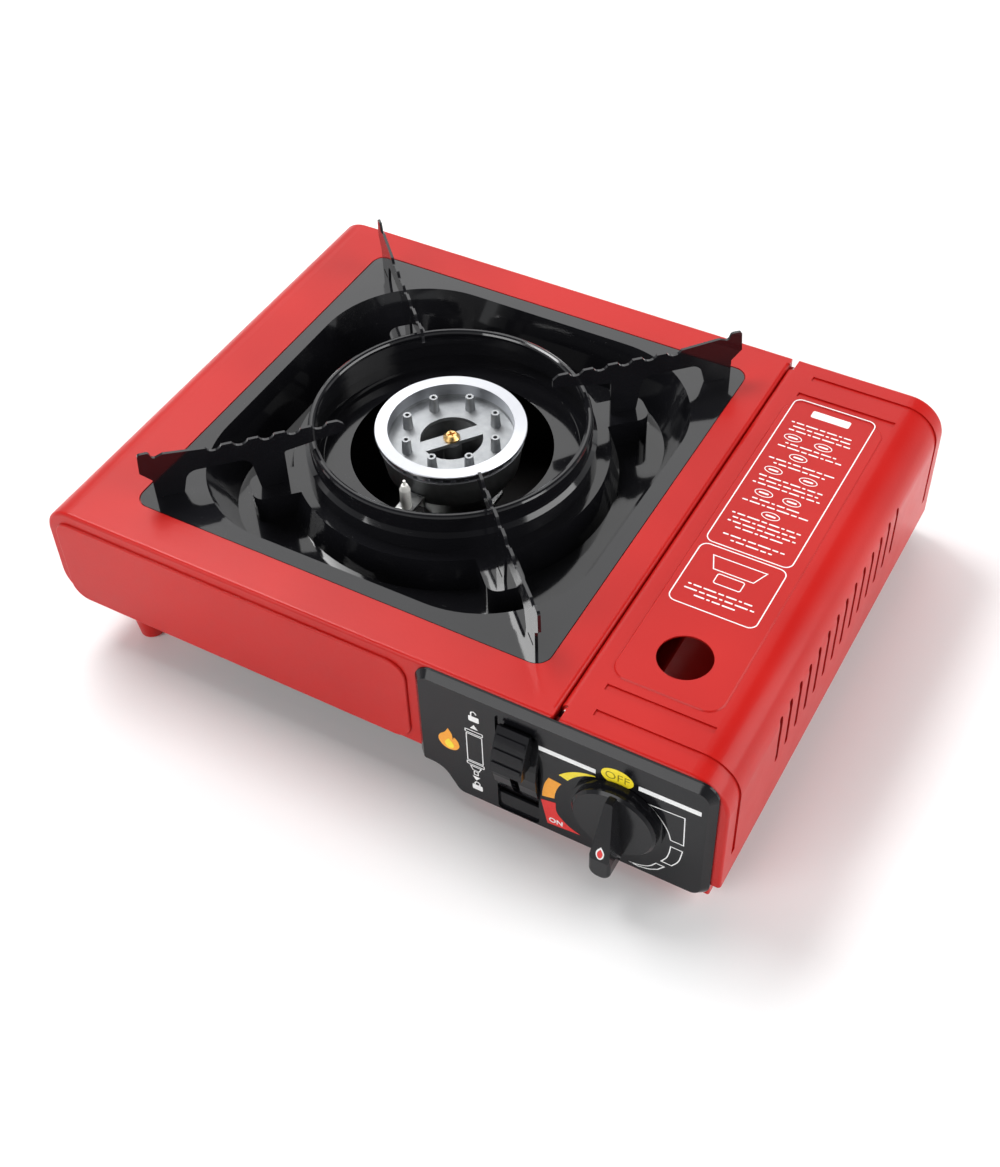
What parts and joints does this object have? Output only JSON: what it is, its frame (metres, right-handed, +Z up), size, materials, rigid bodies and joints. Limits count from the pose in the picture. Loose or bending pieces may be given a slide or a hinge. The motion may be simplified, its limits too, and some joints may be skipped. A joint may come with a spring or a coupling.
{
  "type": "butane cassette stove",
  "caption": "Table-top gas stove: red sheet casing, black tray with pan supports and wind ring, round burner, dial, locking lever and a hinged lid over the cartridge bay.",
  "frame": {"origin": "on the ground under the middle of the stove's box, the knob included", "axes": "+X to the right along the front, +Y from the front to the back, +Z up"},
  "size_m": [0.343, 0.2772, 0.1105],
  "materials": {
    "red_paint": "gloss",
    "black_enamel": "gloss",
    "zinc_steel": "satin",
    "cast_alloy": "matte",
    "machined_alloy": "satin",
    "brass": "satin",
    "white_ceramic": "gloss",
    "black_plastic": "satin"
  },
  "bodies": {
    "casing": {"bar_guides": "zinc_steel", "base_pan": "red_paint", "bulkhead": "red_paint", "burner_body": "cast_alloy", "burner_head": "machined_alloy", "burner_screw": "brass", "burner_stand": "zinc_steel", "cartridge_cradle": "red_paint", "control_panel": "black_plastic", "electrode_clip": "zinc_steel", "feet": "red_paint", "front_plate": "red_paint", "gas_jet": "brass", "hinge_pins": "zinc_steel", "igniter_electrode": "white_ceramic", "lever_stud": "zinc_steel", "panel_screws": "zinc_steel", "piezo_unit": "black_plastic", "rear_plate": "red_paint", "regulator_cap": "zinc_steel", "stand_screws": "zinc_steel", "stop_plate": "red_paint", "top_shell": "red_paint", "valve_body": "cast_alloy"},
    "lid": {"lid": "red_paint"},
    "tray": {"drip_tray": "black_enamel", "wind_ring": "black_enamel", "pan_support_right_rear": "black_enamel", "pan_support_left_rear": "black_enamel", "pan_support_left_front": "black_enamel", "pan_support_right_front": "black_enamel"},
    "knob": {"knob": "black_plastic", "valve_spindle": "brass", "igniter_cam": "black_plastic"},
    "plunger": {"piezo_plunger": "black_plastic"},
    "lever": {"lever_arm": "zinc_steel", "lever_cap": "black_plastic"},
    "pusher": {"pusher_bar": "zinc_steel", "pusher_plate": "zinc_steel"}
  },
  "joints": [
    {"name": "lid_hinge", "type": "hinge", "parent": "casing", "child": "lid", "pos_m": [0.0961, 0, 0.0806], "axis": [0, -1, 0], "range_deg": [0, 95]},
    {"name": "tray_lift", "type": "slide", "parent": "casing", "child": "tray", "axis": [0, 0, 1], "range_m": [0, 0.12]},
    {"name": "knob_turn", "type": "hinge", "parent": "casing", "child": "knob", "pos_m": [0.1258, 0, 0.0437], "axis": [0, -1, 0], "range_deg": [0, 150]},
    {"name": "plunger_slide", "type": "slide", "parent": "casing", "child": "plunger", "axis": [1, 0, 0], "range_m": [0, 0.00502]},
    {"name": "lever_turn", "type": "hinge", "parent": "casing", "child": "lever", "pos_m": [0.0785, -0.0821, 0.045], "axis": [1, 0, 0], "range_deg": [0, 42]},
    {"name": "pusher_slide", "type": "slide", "parent": "casing", "child": "pusher", "axis": [0, -1, 0], "range_m": [0, 0.00752]}
  ],
  "couplings": [
    {"joint": "plunger_slide", "follows": "knob_turn", "m_per_rad": 0.0019099},
    {"joint": "lever_turn", "follows": "pusher_slide", "rad_per_m": 97.404}
  ]
}
